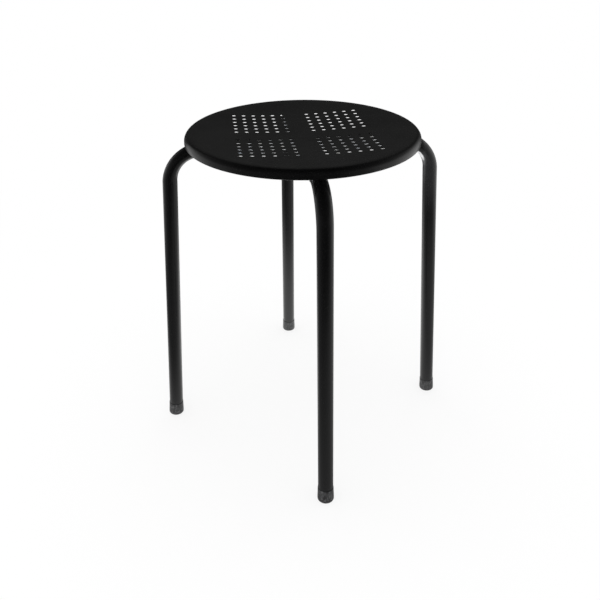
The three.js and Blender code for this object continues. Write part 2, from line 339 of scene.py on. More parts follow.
def zinc(name, color, grain):
    paint = Paint(name, color, roughness=0.36, metallic=0.4)
    lines = paint.noise(scale=60, detail=3, rough=0.6, place=paint.stretched(1, 1, grain))
    clouds = paint.noise(scale=45, detail=4, rough=0.6)
    fine = paint.noise(scale=1500, detail=2, rough=0.5)
    cool, warm = (tuple(c * s for c, s in zip(color, tint)) for tint in (ZINC_COOL, ZINC_WARM))
    paint.feed("Base Color", paint.mixed(paint.ranged(clouds, (0.35, 0.65), (0, 1)), cool, warm))
    paint.feed("Roughness", paint.ranged(lines, NOISE_SPREAD, (0.34, 0.5)))
    drawn = paint.bump(lines, strength=0.15, distance=0.1 * MM)
    paint.feed("Normal", paint.bump(fine, strength=0.2, distance=0.05 * MM, over=drawn))
    return paint.material


def cap_plastic():
    paint = Paint("grey_cap_plastic", CAP_GREY, roughness=0.5)
    mottle = paint.noise(scale=380, detail=5, rough=0.7)
    streaks = paint.noise(scale=90, detail=4, rough=0.65, place=paint.stretched(1, 1, 0.35))
    scuffs = paint.noise(scale=560, detail=2, rough=0.6, place=paint.stretched(1, 1, 0.45))
    fine = paint.noise(scale=1600, detail=2, rough=0.5)
    mottled = paint.mixed(paint.ranged(mottle, (0.38, 0.62), (0, 1)), CAP_DARK, CAP_PALE)
    streaked = paint.mixed(paint.ranged(streaks, (0.4, 0.7), (0, 0.5)), mottled, CAP_STREAK)
    scuffed = paint.mixed(paint.ranged(scuffs, (0.54, 0.64), (0, 0.85)), streaked, CAP_SCUFF)
    paint.feed("Base Color", scuffed)
    paint.feed("Roughness", paint.ranged(mottle, NOISE_SPREAD, (0.36, 0.54)))
    uneven = paint.bump(mottle, strength=0.25, distance=0.12 * MM)
    paint.feed("Normal", paint.bump(fine, strength=0.3, distance=0.08 * MM, over=uneven))
    return paint.material


def plug_plastic():
    paint = Paint("black_plug_plastic", PLUG_BLACK, roughness=0.55, specular=0.4)
    grain = paint.noise(scale=1100, detail=3, rough=0.6)
    clouds = paint.noise(scale=120, detail=3, rough=0.6)
    paint.feed("Base Color", paint.mixed(clouds, PLUG_DARK, PLUG_PALE))
    paint.feed("Roughness", paint.ranged(clouds, NOISE_SPREAD, (0.48, 0.62)))
    paint.feed("Normal", paint.bump(grain, strength=0.3, distance=0.06 * MM))
    return paint.material


COAT = powder_coat()
ZINC_PLATE = zinc("zinc_plate", PLATE_COLOR, grain=0.2)
ZINC_HARDWARE = zinc("zinc_hardware", HARDWARE_COLOR, grain=2.5)
CAP = cap_plastic()
PLUG = plug_plastic()


# Meshes

def linked(name, data):
    """A new object of the scene."""
    made = bpy.data.objects.new(name, data)
    bpy.context.scene.collection.objects.link(made)
    return made


def piece(name, bm, material, node):
    """A new piece in the place of a CAD node, with its faces outwards: the highest looks up."""
    bmesh.ops.remove_doubles(bm, verts=bm.verts, dist=MERGE)
    bmesh.ops.recalc_face_normals(bm, faces=bm.faces)
    highest = max(bm.faces, key=lambda face: face.calc_center_median().z)
    if highest.normal.z < 0:
        bmesh.ops.reverse_faces(bm, faces=bm.faces)
    for face in bm.faces:
        face.smooth = True
    mesh = bpy.data.meshes.new(name)
    bm.to_mesh(mesh)
    bm.free()
    mesh.materials.append(material)
    made = linked(name, mesh)
    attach(made, "root")
    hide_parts(node)
    return made


def weighted(made):
    modifier = made.modifiers.new("even_shading", "WEIGHTED_NORMAL")
    modifier.weight = 50
    modifier.keep_sharp = True


def bevelled(made, width, segments, angle):
    modifier = made.modifiers.new("soft_edges", "BEVEL")
    modifier.width = width
    modifier.segments = segments
    modifier.limit_method = "ANGLE"
    modifier.angle_limit = math.radians(angle)


def thickened_inwards(made, thickness):
    modifier = made.modifiers.new("sheet", "SOLIDIFY")
    modifier.thickness = thickness
    modifier.offset = -1
    modifier.use_even_offset = True


def of_kind(kind, geometry):
    """The vertices, or the edges, among what an operator has made."""
    return [part for part in geometry if isinstance(part, kind)]


def moved(bm, matrix):
    bmesh.ops.transform(bm, matrix=matrix, verts=bm.verts)


def chained(bm, places):
    """A line of new vertices with an edge from each one to the next."""
    verts = [bm.verts.new(place) for place in places]
    edges = [bm.edges.new(pair) for pair in zip(verts, verts[1:])]
    return verts, edges


def turned_profile(profile, steps):
    """A closed turned body on the Z axis from [radius, height] pairs."""
    bm = bmesh.new()
    verts, edges = chained(bm, [(r, 0, z) for r, z in profile])
    bmesh.ops.spin(bm, geom=verts + edges, cent=(0, 0, 0), axis=(0, 0, 1), angle=2 * math.pi,
                   steps=steps, use_merge=True, use_duplicate=False)
    bmesh.ops.remove_doubles(bm, verts=bm.verts, dist=MERGE)
    return bm


def grown_together(bm, loops, rings, closed=True):
    """Extrudes loops of vertices to new rings of places, and gives the new loops."""
    edges = []
    for loop in loops:
        following = loop[1:] + loop[:1] if closed else loop[1:]
        edges += [bm.edges.get(pair) for pair in zip(loop, following)]
    new = set(of_kind(BMVert, bmesh.ops.extrude_edge_only(bm, edges=edges)["geom"]))
    made = []
    for loop, ring in zip(loops, rings):
        others = [[edge.other_vert(vert) for edge in vert.link_edges] for vert in loop]
        copies = [next(other for other in near if other in new) for near in others]
        for copy, place in zip(copies, ring):
            copy.co = place
        made.append(copies)
    return made


def grown(bm, loop, ring, closed=True):
    """The same for one loop."""
    return grown_together(bm, [loop], [ring], closed)[0]


def pushed(bm, edges, offset, steps):
    """Extrudes a closed loop of edges in equal steps, and gives its last edges."""
    for _ in range(steps):
        new = bmesh.ops.extrude_edge_only(bm, edges=edges)["geom"]
        bmesh.ops.translate(bm, verts=of_kind(BMVert, new), vec=offset / steps)
        edges = [edge for edge in of_kind(BMEdge, new) if edge.is_boundary]
    return edges


def circle(radius, steps):
    """Points of a circle, from +x towards +y."""
    angles = [2 * math.pi * k / steps for k in range(steps)]
    return [(radius * math.cos(angle), radius * math.sin(angle)) for angle in angles]


def arc(centre_r, centre_z, radius, start, end, steps):
    """Points of an arc; its angles are in degrees from +r towards +z."""
    points = []
    for i in range(steps + 1):
        angle = math.radians(start + (end - start) * i / steps)
        points.append((centre_r + radius * math.cos(angle), centre_z + radius * math.sin(angle)))
    return points


def for_each_side(maker):
    """Makes one piece for each leg, turned round the stool's axis."""
    for turn, side in enumerate(SIDES):
        maker(side, Matrix.Rotation(turn * math.pi / 2, 4, "Z"))


# Seat pan

DISH_BLEND_START = DISH_RADIUS - 3 * MM
CELL_STEPS = 6
MIDDLE_STEPS = 8
SPREAD_STEPS = 8
RIM_START = 1.5 * MM
LAND_END = 0.9 * MM
CURVE_STEPS = 10
INNER_CURVE_STEPS = 8
HEM_STEPS = 8
LEAF_STEPS = 4
LEAF_PLAY = 0.05 * MM
SLIT = [(0.04 * MM, 0.9 * MM), (0, 0.5 * MM)]  # in from the wall, and down from the hem's top
HOLE_RINGS = [  # radius and depth in millimetres, the depth under the sheet's upper side
    (4.4, 0), (3.45, 0), (3.12, 0.05), (2.88, 0.2), (2.76, 0.45),
    (2.76, 0.9), (2.88, 1.08), (3.1, 1.18), (4.4, 1.2),
]


def dish(r):
    return SEAT_HEIGHT - DISH_DEPTH + DISH_DEPTH * (r / DISH_RADIUS) ** 2


def pan_height(r):
    """The top of the pan: the dish runs smoothly into the level land."""
    if r <= DISH_BLEND_START:
        return dish(r)
    slope = 2 * DISH_DEPTH * DISH_BLEND_START / DISH_RADIUS ** 2
    length = 2 * (SEAT_HEIGHT - dish(DISH_BLEND_START)) / slope
    along = min((r - DISH_BLEND_START) / length, 1)
    return dish(DISH_BLEND_START) + slope * length * (along - along ** 2 / 2)


def pan_place(x, y, depth):
    return Vector((x, y, pan_height(math.hypot(x, y)) - depth))


def pan_lines():
    """The places of the grid's lines: the cells of both groups, and the steps between them."""
    edge = HOLE_OFFSET - HOLE_PITCH / 2
    outer = [edge + HOLE_PITCH * i / CELL_STEPS for i in range(HOLES * CELL_STEPS + 1)]
    middle = [-edge + 2 * edge * i / MIDDLE_STEPS for i in range(1, MIDDLE_STEPS)]
    return [-x for x in reversed(outer)] + middle + outer


def square_loop(low_i, low_j, high_i, high_j):
    """Grid places round a square, from the middle of its +x side, towards +y."""
    loop = [(high_i, j) for j in range(low_j, high_j)]
    loop += [(i, high_j) for i in range(high_i, low_i, -1)]
    loop += [(low_i, j) for j in range(high_j, low_j, -1)]
    loop += [(i, low_j) for i in range(low_i, high_i)]
    half = (high_j - low_j) // 2
    return loop[half:] + loop[:half]


def pan_sheet(bm, lines, starts, depth):
    """One side of the sheet, open at the holes: its vertices by their places in the grid."""
    last = len(lines) - 1
    made = bmesh.ops.create_grid(bm, x_segments=last, y_segments=last, size=last / 2)["verts"]
    verts = {}
    for vert in made:
        i, j = (round(along + last / 2) for along in vert.co.xy)
        vert.co = pan_place(lines[i], lines[j], depth)
        verts[i, j] = vert
    inner = [(i, j) for i in range(1, CELL_STEPS) for j in range(1, CELL_STEPS)]
    cut = [verts.pop((a + i, b + j)) for a in starts for b in starts for i, j in inner]
    bmesh.ops.delete(bm, geom=cut, context="VERTS")
    return verts


def hole_rings(lines, a, b):
    """One hole's rounded wall, from the upper side of the sheet to the lower one."""
    centre_x, centre_y = ((lines[i] + lines[i + CELL_STEPS]) / 2 for i in (a, b))
    rings = []
    for radius, depth in HOLE_RINGS:
        ring = circle(radius * MM, 4 * CELL_STEPS)
        rings.append([pan_place(centre_x + x, centre_y + y, depth * MM) for x, y in ring])
    return rings


def pierce(bm, lines, starts, upper, lower):
    """Joins the two sides of the sheet by the walls of all holes."""
    corners = [(a, b) for a in starts for b in starts]
    borders = [square_loop(a, b, a + CELL_STEPS, b + CELL_STEPS) for a, b in corners]
    holes = [hole_rings(lines, a, b) for a, b in corners]
    for rings, border in zip(holes, borders):
        rings.append([lower[place].co for place in border])
    # Neighbouring cells share their borders, so each hole's first ring is made by itself.
    loops = [grown(bm, [upper[place] for place in border], rings[0])
             for border, rings in zip(borders, holes)]
    for following in list(zip(*holes))[1:]:
        loops = grown_together(bm, loops, following)


def rim_profile():
    """From the land over the rim, round the hem and back under the land."""
    curve_r = SEAT_RADIUS - RIM_CURVE
    curve_z = SEAT_HEIGHT - RIM_CURVE
    bottom = SEAT_HEIGHT - RIM_DEPTH
    wall = SEAT_RADIUS - PAN_SHEET
    hem_top = bottom + HEM_HEIGHT
    leaf_r = wall - PAN_SHEET / 2 - LEAF_PLAY
    start_r = DISH_RADIUS + RIM_START
    profile = [(start_r, pan_height(start_r)), (DISH_RADIUS + LAND_WIDTH - LAND_END, SEAT_HEIGHT)]
    profile += arc(curve_r, curve_z, RIM_CURVE, 90, 0, CURVE_STEPS)
    profile += arc(wall, bottom + PAN_SHEET, PAN_SHEET, 0, -180, HEM_STEPS)
    profile += arc(leaf_r, hem_top - PAN_SHEET / 2, PAN_SHEET / 2, 180, 20, LEAF_STEPS)
    profile += [(wall - inward, hem_top - down) for inward, down in SLIT]
    profile += arc(curve_r, curve_z, RIM_CURVE - PAN_SHEET, 0, 90, INNER_CURVE_STEPS)
    return profile + [(start_r, pan_height(start_r) - PAN_SHEET)]


def seat_pan():
    bm = bmesh.new()
    lines = pan_lines()
    last = len(lines) - 1
    starts = [CELL_STEPS * i for i in range(HOLES)]
    starts += [last - CELL_STEPS * (i + 1) for i in range(HOLES)]
    upper = pan_sheet(bm, lines, starts, 0)
    lower = pan_sheet(bm, lines, starts, PAN_SHEET)
    pierce(bm, lines, starts, upper, lower)

    # From the square of the holes out to the dish's edge, over the rim and back below.
    border = square_loop(0, 0, last, last)
    angles = [math.atan2(lines[j], lines[i]) for i, j in border]

    def spread_ring(step, depth):
        share = step / SPREAD_STEPS
        ring = []
        for (i, j), angle in zip(border, angles):
            x = lines[i] * (1 - share) + DISH_RADIUS * math.cos(angle) * share
            y = lines[j] * (1 - share) + DISH_RADIUS * math.sin(angle) * share
            ring.append(pan_place(x, y, depth))
        return ring

    rings = [spread_ring(step, 0) for step in range(1, SPREAD_STEPS + 1)]
    rings += [[(r * math.cos(a), r * math.sin(a), z) for a in angles] for r, z in rim_profile()]
    rings += [spread_ring(step, PAN_SHEET) for step in range(SPREAD_STEPS, -1, -1)]
    loop = [upper[place] for place in border]
    for ring in rings:
        loop = grown(bm, loop, ring)
    made = piece("pierced_seat_pan", bm, COAT, "seat_pan")
    weighted(made)


# Channel cross

FOLD_RADIUS = 2.6 * MM
FOLD_STEPS = 6
WALL_SHARES = (0.4, 0.75, 1)
CELL_HALF = HOLE_PITCH / 2
CELL_THIRDS = 3
PLAIN_MARKS = [CHANNEL_HALF + 6 * MM, 28 * MM, 64 * MM, 76 * MM, 88 * MM]
END_MARKS = [ARM_LENGTH - 2.5 * MM, ARM_LENGTH]
COLLAR_STEPS = 24
COLLAR_ROUND = 1 * MM
COLLAR_ROUND_STEPS = 4
COLLAR_MARGIN = 2.2 * MM
TAB_STEPS = 8
PAD_STEPS = 6
PAD_CORNER = 2.5 * MM
EDGE_BEVEL = 0.3 * MM


def channel_section():
    """Across an arm, from one wall's edge over the web to the other's."""
    flat = CHANNEL_HALF - FOLD_RADIUS
    half = [(CELL_HALF * k / CELL_THIRDS, CROSS_TOP) for k in range(CELL_THIRDS + 1)]
    half += [(TAB_WIDTH / 2, CROSS_TOP)]
    half += arc(flat, CROSS_TOP - FOLD_RADIUS, FOLD_RADIUS, 90, 0, FOLD_STEPS)
    wall_top = half[-1][1]
    wall_bottom = CROSS_TOP - CHANNEL_DEPTH
    half += [(CHANNEL_HALF, wall_top + (wall_bottom - wall_top) * share) for share in WALL_SHARES]
    return [(-y, z) for y, z in reversed(half[1:])] + half


def tab_row(strip, step):
    """The tab slopes up from the web and ends in a pad with rounded corners, under the dish."""
    pad_start = ARM_LENGTH + TAB_RUN
    row = []
    for y in strip:
        if step <= TAB_STEPS:
            share = step / TAB_STEPS
            x = ARM_LENGTH + TAB_RUN * share
            ease = share * share * (3 - 2 * share)
        else:
            over = max(abs(y) - TAB_WIDTH / 2 + PAD_CORNER, 0)
            shorter = PAD_CORNER - math.sqrt(max(PAD_CORNER ** 2 - over ** 2, 0))
            x = pad_start + (PAD_LENGTH - shorter) * (step - TAB_STEPS) / PAD_STEPS
            ease = 1
        top = dish(max(x, pad_start)) - PAN_SHEET - GAP
        row.append((x, y, CROSS_TOP + (top - CROSS_TOP) * ease))
    return row


def channel_cross():
    """The outer face of the folded sheet, given its thickness inwards."""
    bm = bmesh.new()
    section = channel_section()
    middle = len(section) // 2
    thirds = [k / CELL_THIRDS - 1 for k in range(2 * CELL_THIRDS + 1)]
    marks = [place + CELL_HALF * third for place in SCREW_PLACES.values() for third in thirds]
    marks = sorted(marks + PLAIN_MARKS + END_MARKS)
    grid = [chained(bm, [(abs(y), y, z) for y, z in section])[0]]
    for x in marks:
        grid.append(grown(bm, grid[-1], [(x, y, z) for y, z in section], closed=False))

    # A collar is drawn down from the web for each screw.
    collar = [(SCREW_BORE + COLLAR_MARGIN, CROSS_TOP)]
    collar += arc(SCREW_BORE + COLLAR_ROUND, CROSS_TOP - COLLAR_ROUND, COLLAR_ROUND, 90, 180,
                  COLLAR_ROUND_STEPS)
    collar += [(SCREW_BORE, CROSS_UNDER - COLLAR_HEIGHT)]
    inner = range(1 - CELL_THIRDS, CELL_THIRDS)
    around = square_loop(-CELL_THIRDS, -CELL_THIRDS, CELL_THIRDS, CELL_THIRDS)
    for place in SCREW_PLACES.values():
        column = 1 + marks.index(min(marks, key=lambda mark: abs(mark - place)))
        cut = [grid[column + i][middle + j] for i in inner for j in inner]
        bmesh.ops.delete(bm, geom=cut, context="VERTS")
        loop = [grid[column + i][middle + j] for i, j in around]
        for r, z in collar:
            loop = grown(bm, loop, [(place + x, y, z) for x, y in circle(r, COLLAR_STEPS)])

    # The weld tab carries on from the web's flat middle.
    strip = [j for j, (y, z) in enumerate(section) if abs(y) <= TAB_WIDTH / 2 + MERGE]
    row = [grid[-1][j] for j in strip]
    for step in range(1, TAB_STEPS + PAD_STEPS + 1):
        row = grown(bm, row, tab_row([section[j][0] for j in strip], step), closed=False)

    arm = bm.verts[:] + bm.edges[:] + bm.faces[:]
    bmesh.ops.spin(bm, geom=arm, cent=(0, 0, 0), axis=(0, 0, 1), angle=math.pi * 3 / 2, steps=3,
                   use_duplicate=True)
    made = piece("folded_channel_cross", bm, ZINC_PLATE, "channel_cross")
    thickened_inwards(made, CHANNEL_SHEET)
    bevelled(made, EDGE_BEVEL, segments=2, angle=40)
    weighted(made)


# Legs

TUBE_SIDES = 40
RUN_STEPS = 8
BEND_STEPS = 36
SPLAY_STEPS = 12
BEND_FLAT = 0.1
BEND_SPREAD = 0.03


def tube_wall(bm, radius):
    """One side of a tube's wall: level under the seat, round the bend and down to the cap.

    It gives the edges of its two ends.
    """
    across = Matrix.Translation((RUN_START, 0, RUN_HEIGHT)) @ Matrix.Rotation(math.pi / 2, 4, "Y")
    ring = bmesh.ops.create_circle(bm, segments=TUBE_SIDES, radius=radius, matrix=across)["verts"]
    first = list(dict.fromkeys(edge for vert in ring for edge in vert.link_edges))
    level = pushed(bm, first, Vector((BEND_X - RUN_START, 0, 0)), RUN_STEPS)
    corners = list(dict.fromkeys(vert for edge in level for vert in edge.verts))
    bent = bmesh.ops.spin(bm, geom=corners + level, cent=(BEND_X, 0, BEND_Z), axis=(0, 1, 0),
                          angle=BEND_TURN, steps=BEND_STEPS, use_duplicate=False)["geom_last"]
    out = Vector((math.sin(BEND_TURN), 0, math.cos(BEND_TURN)))
    end = Vector((BEND_X, 0, BEND_Z)) + out * BEND_RADIUS
    upwards = Vector((-math.sin(SPLAY), 0, math.cos(SPLAY)))
    foot = Vector((FOOT_RADIUS, 0, 0)) + upwards * (CAP_SOLE + GAP)
    return first, pushed(bm, of_kind(BMEdge, bent), foot - end, SPLAY_STEPS)


def narrow(bm, edges, share):
    """Extrudes a closed loop of edges towards its middle."""
    verts = of_kind(BMVert, bmesh.ops.extrude_edge_only(bm, edges=edges)["geom"])
    middle = sum((vert.co for vert in verts), Vector()) / len(verts)
    bmesh.ops.scale(bm, vec=(share, share, share), space=Matrix.Translation(-middle), verts=verts)


def flatten_bend(bm):
    """The tube is a little lower and wider in the middle of its bend."""
    centre = Vector((BEND_X, 0, BEND_Z))
    for vert in bm.verts:
        angle = math.atan2(vert.co.x - BEND_X, vert.co.z - BEND_Z)
        if 0 < angle < BEND_TURN:
            flat = math.sin(math.pi * angle / BEND_TURN)
            out = Vector((math.sin(angle), 0, math.cos(angle)))
            height = (vert.co - centre).dot(out) - BEND_RADIUS
            aside = Vector((0, vert.co.y * (1 + BEND_SPREAD * flat), 0))
            vert.co = centre + out * (BEND_RADIUS + height * (1 - BEND_FLAT * flat)) + aside


def leg(side, turn):
    bm = bmesh.new()
    outer_ends = tube_wall(bm, TUBE_RADIUS)
    tube_wall(bm, TUBE_RADIUS - TUBE_WALL)
    for edges in outer_ends:
        narrow(bm, edges, 1 - TUBE_WALL / TUBE_RADIUS)
    flatten_bend(bm)
    moved(bm, turn)
    made = piece(f"bent_tube_{side}", bm, COAT, f"leg_{side}")
    weighted(made)


# Foot caps

CAP_STEPS = 48
CAP_PLAY = 0.06 * MM
CAP_LIP = 0.5 * MM
CAP_LIP_ROUND = 0.25 * MM
CAP_LIP_STEPS = 3
CAP_LIP_DROP = 0.02 * MM
CAP_NECK = 1.2 * MM
CAP_SWELL = 1.0 * MM
CAP_BELLY = [(0.3, 0.9), (0.6, 0.45)]  # shares of the height and of the swell
CAP_EDGE = 2.4 * MM
CAP_EDGE_STEPS = 7
SOLE_RING = 3.2 * MM
SOLE_STEP = 0.3 * MM
SOLE_HOLLOW = 0.6 * MM


def foot_cap(side, turn):
    """A cap along the leg's slope, cut level at the floor, with a hollow in its sole."""
    mouth = TUBE_RADIUS + CAP_PLAY
    lip = TUBE_RADIUS + CAP_LIP
    low = TUBE_RADIUS + CAP_SWELL
    drop = low * math.tan(SPLAY)
    profile = [(0, -drop), (low - CAP_EDGE, -drop)]
    profile += arc(low - CAP_EDGE, CAP_EDGE - drop, CAP_EDGE, -90, 0, CAP_EDGE_STEPS)
    profile += [(lip + (low - lip) * swell, CAP_HEIGHT * share) for share, swell in CAP_BELLY]
    profile += [(lip + CAP_PLAY, CAP_HEIGHT - CAP_NECK)]
    profile += arc(lip - CAP_LIP_ROUND, CAP_HEIGHT - CAP_LIP_ROUND, CAP_LIP_ROUND, 0, 90,
                   CAP_LIP_STEPS)
    profile += [(mouth, CAP_HEIGHT - CAP_LIP_DROP), (mouth, CAP_SOLE), (0, CAP_SOLE)]
    bm = turned_profile(profile, CAP_STEPS)
    moved(bm, Matrix.Translation((FOOT_RADIUS, 0, 0)) @ Matrix.Rotation(-SPLAY, 4, "Y"))
    everything = bm.verts[:] + bm.edges[:] + bm.faces[:]
    cut = bmesh.ops.bisect_plane(bm, geom=everything, plane_co=(0, 0, 0), plane_no=(0, 0, 1),
                                 clear_inner=True)["geom_cut"]
    bmesh.ops.holes_fill(bm, edges=of_kind(BMEdge, cut), sides=0)
    sole = min(bm.faces, key=lambda face: face.calc_center_median().z)
    for width in (SOLE_RING, SOLE_STEP):
        bmesh.ops.inset_region(bm, faces=[sole], thickness=width)
    bmesh.ops.translate(bm, verts=sole.verts, vec=(0, 0, SOLE_HOLLOW))
    for vert in bm.verts:
        vert.co.z = max(vert.co.z, 0)
    moved(bm, turn)
    made = piece(f"cap_of_{side}_foot", bm, CAP, f"foot_cap_{side}")
    weighted(made)


# End plugs

PLUG_STEPS = 40
PLUG_EDGE = 0.7 * MM
PLUG_EDGE_STEPS = 4
DIMPLE_RADIUS = 2.4 * MM
DIMPLE_SLOPE = 0.5 * MM
RIBS = 3
RIB_START = 2.5 * MM
RIB_PITCH = 2.8 * MM
RIB_HEIGHT = 0.8 * MM
RIB_BELOW = 0.6 * MM
RIB_ABOVE = 0.9 * MM
PLUG_TAPER = 1 * MM


def end_plug(side, turn):
    spigot = TUBE_RADIUS - TUBE_WALL - GAP
    end = PLUG_FLANGE + PLUG_DEPTH
    profile = [(0, PLUG_EDGE), (DIMPLE_RADIUS, PLUG_EDGE), (DIMPLE_RADIUS + DIMPLE_SLOPE, 0)]
    profile += arc(TUBE_RADIUS - PLUG_EDGE, PLUG_EDGE, PLUG_EDGE, -90, 0, PLUG_EDGE_STEPS)
    profile += [(TUBE_RADIUS, PLUG_FLANGE), (spigot, PLUG_FLANGE)]
    for rib in range(RIBS):
        z = PLUG_FLANGE + RIB_START + RIB_PITCH * rib
        valley = spigot - RIB_HEIGHT
        profile += [(valley, z - RIB_BELOW), (spigot, z), (valley, z + RIB_ABOVE)]
    profile += [(spigot - PLUG_TAPER, end), (0, end)]
    bm = turned_profile(profile, PLUG_STEPS)
    place = Matrix.Translation((PLUG_FACE, 0, RUN_HEIGHT)) @ Matrix.Rotation(math.pi / 2, 4, "Y")
    moved(bm, turn @ place)
    made = piece(f"plug_of_{side}_tube", bm, PLUG, f"end_plug_{side}")
    weighted(made)


# Saddle washers

WASHER_STEPS = 48
BORE_EDGE = 0.2 * MM
TOP_EDGE = 0.25 * MM
TOP_EDGE_DROP = 0.2 * MM
TOP_RINGS = (1.3 * MM, 2.5 * MM)  # out from the bore
BOTTOM_ROUND = 0.4 * MM
ROUND_SHARE = 0.3


def saddle_washer(side, turn, row, place):
    """A flat washer whose upper side is raised to follow the tube."""
    hollow = TUBE_RADIUS + GAP
    highest = hollow - math.sqrt(hollow ** 2 - WASHER_RADIUS ** 2) - GAP
    top = WASHER_THICKNESS
    rounding = BOTTOM_ROUND * ROUND_SHARE
    profile = [(SCREW_BORE, top - BORE_EDGE), (SCREW_BORE + BORE_EDGE / 2, top)]
    profile += [(SCREW_BORE + out, top) for out in TOP_RINGS]
    profile += [(WASHER_RADIUS - TOP_EDGE, top), (WASHER_RADIUS, top - TOP_EDGE_DROP)]
    profile += [(WASHER_RADIUS, BOTTOM_ROUND), (WASHER_RADIUS - rounding, rounding)]
    profile += [(WASHER_RADIUS - BOTTOM_ROUND, 0), (SCREW_BORE + BORE_EDGE, 0)]
    profile += [(SCREW_BORE, BORE_EDGE), profile[0]]
    bm = turned_profile(profile, WASHER_STEPS)
    for vert in bm.verts:
        if vert.co.z > WASHER_THICKNESS / 2:
            vert.co.z += min(hollow - math.sqrt(hollow ** 2 - vert.co.y ** 2), highest)
    moved(bm, turn @ Matrix.Translation((place, 0, WASHER_BOTTOM)))
    made = piece(f"washer_{row}_{side}", bm, ZINC_HARDWARE,
                 f"saddle_washer_{row}_{side}")
    weighted(made)


# Screws

SCREW_STEPS = 24
HEAD_FACE = HEAD_RADIUS * 0.62
HEAD_DOME = HEAD_HEIGHT * 0.75
HEAD_EDGE = 0.15 * MM
DOME_STEPS = 6
SOCKET_POINT = 0.5 * MM
SOCKET_CHAMFER = 0.2 * MM
THREAD_PITCH = 1 * MM
THREAD_RINGS = 4
THREAD_DEPTH = 0.5 * MM
TIP_LENGTH = 0.8 * MM


def screw_profile(face):
    """A button head with a round socket, and a plain shank with a ring every quarter pitch."""
    socket = SOCKET_FLATS / 2
    profile = [(0, face + SOCKET_DEPTH + SOCKET_POINT), (socket, face + SOCKET_DEPTH)]
    profile += [(socket, face + HEAD_EDGE), (socket + SOCKET_CHAMFER, face), (HEAD_FACE, face)]
    for i in range(1, DOME_STEPS + 1):
        angle = i / DOME_STEPS * math.pi / 2
        radius = HEAD_FACE + (HEAD_RADIUS - HEAD_FACE) * math.sin(angle)
        profile.append((radius, face + HEAD_DOME * (1 - math.cos(angle))))
    profile += [(HEAD_RADIUS, SCREW_SEAT - HEAD_EDGE), (HEAD_RADIUS - HEAD_EDGE, SCREW_SEAT)]
    rings = int((CROSS_TOP - TIP_LENGTH - SCREW_SEAT) / THREAD_PITCH * THREAD_RINGS)
    for i in range(rings + 1):
        profile.append((SCREW_RADIUS, SCREW_SEAT + i * THREAD_PITCH / THREAD_RINGS))
    return profile + [(SCREW_RADIUS - TIP_LENGTH, CROSS_TOP), (0, CROSS_TOP)]


def screw(side, turn, row, place):
    bm = turned_profile(screw_profile(SCREW_SEAT - HEAD_HEIGHT), SCREW_STEPS)
    margin = THREAD_PITCH / THREAD_RINGS / 2
    for vert in bm.verts:
        radius = vert.co.xy.length
        angle = math.atan2(vert.co.y, vert.co.x)
        if MERGE < radius < SCREW_RADIUS - margin and vert.co.z < SCREW_SEAT - margin:
            # The socket is hexagonal.
            local = (angle + math.pi / 6) % (math.pi / 3) - math.pi / 6
            radius += SOCKET_FLATS / 2 * (1 / math.cos(local) - 1)
        elif SCREW_SEAT + margin < vert.co.z < CROSS_TOP - margin:
            # The thread winds round the shank.
            phase = ((vert.co.z - SCREW_SEAT) / THREAD_PITCH - angle / (2 * math.pi)) % 1
            radius -= THREAD_DEPTH * abs(2 * phase - 1)
        vert.co.xy = (radius * math.cos(angle), radius * math.sin(angle))
    moved(bm, turn @ Matrix.Translation((place, 0, 0)))
    made = piece(f"screw_{row}_{side}", bm, ZINC_HARDWARE,
                 f"leg_screw_{row}_{side}")
    weighted(made)


seat_pan()
channel_cross()
for_each_side(leg)
for_each_side(foot_cap)
for_each_side(end_plug)
for row, place in SCREW_PLACES.items():
    for_each_side(lambda side, turn: saddle_washer(side, turn, row, place))
    for_each_side(lambda side, turn: screw(side, turn, row, place))


# Camera, at the photograph's viewing angle: degrees, metres, and pixels of a square picture

CAMERA_AZIMUTH = -7.3449
CAMERA_ELEVATION = 23.28371
CAMERA_ROLL = -0.57506
CAMERA_AIM = Vector((-9.16858, 0, 346.31064)) * MM
CAMERA_DISTANCE = 950.69408 * MM
CAMERA_SENSOR = 36
PICTURE = 600
FOCAL_LENGTH = 677.77594
OPTICAL_CENTRE = (296.42241, 200)


def camera():
    elevation = math.radians(CAMERA_ELEVATION)
    roll = math.radians(CAMERA_ROLL)
    forward = Vector((0, math.cos(elevation), -math.sin(elevation)))
    right = Vector((1, 0, 0))
    up = right.cross(forward)
    place = CAMERA_AIM - forward * CAMERA_DISTANCE
    turned_right = right * math.cos(roll) + up * math.sin(roll)
    turned_up = up * math.cos(roll) - right * math.sin(roll)
    axes = Matrix((turned_right, turned_up, -forward)).transposed()
    spin = Matrix.Rotation(math.radians(CAMERA_AZIMUTH), 4, "Z")
    data = bpy.data.cameras.new("camera")
    data.sensor_width = CAMERA_SENSOR
    data.lens = FOCAL_LENGTH / PICTURE * CAMERA_SENSOR
    data.shift_x = (PICTURE / 2 - OPTICAL_CENTRE[0]) / PICTURE
    data.shift_y = (OPTICAL_CENTRE[1] - PICTURE / 2) / PICTURE
    made = linked("camera", data)
    made.matrix_world = spin @ Matrix.Translation(place) @ axes.to_4x4()
    bpy.context.scene.camera = made


# Studio

# The room in reflections: panels at both sides, dark behind and in front. Degrees from the back
# towards the right, with the level at the horizon.
ROOM = [(-180, 0.03), (-150, 0.05), (-120, 0.12), (-90, 0.32), (-60, 0.62), (-44, 0.72),
        (-36, 0.50), (-29, 0.02), (0, 0.0), (34, 0.0), (42, 0.20), (49, 0.50), (60, 0.84),
        (78, 0.88), (105, 0.56), (135, 0.17), (160, 0.05), (180, 0.03)]

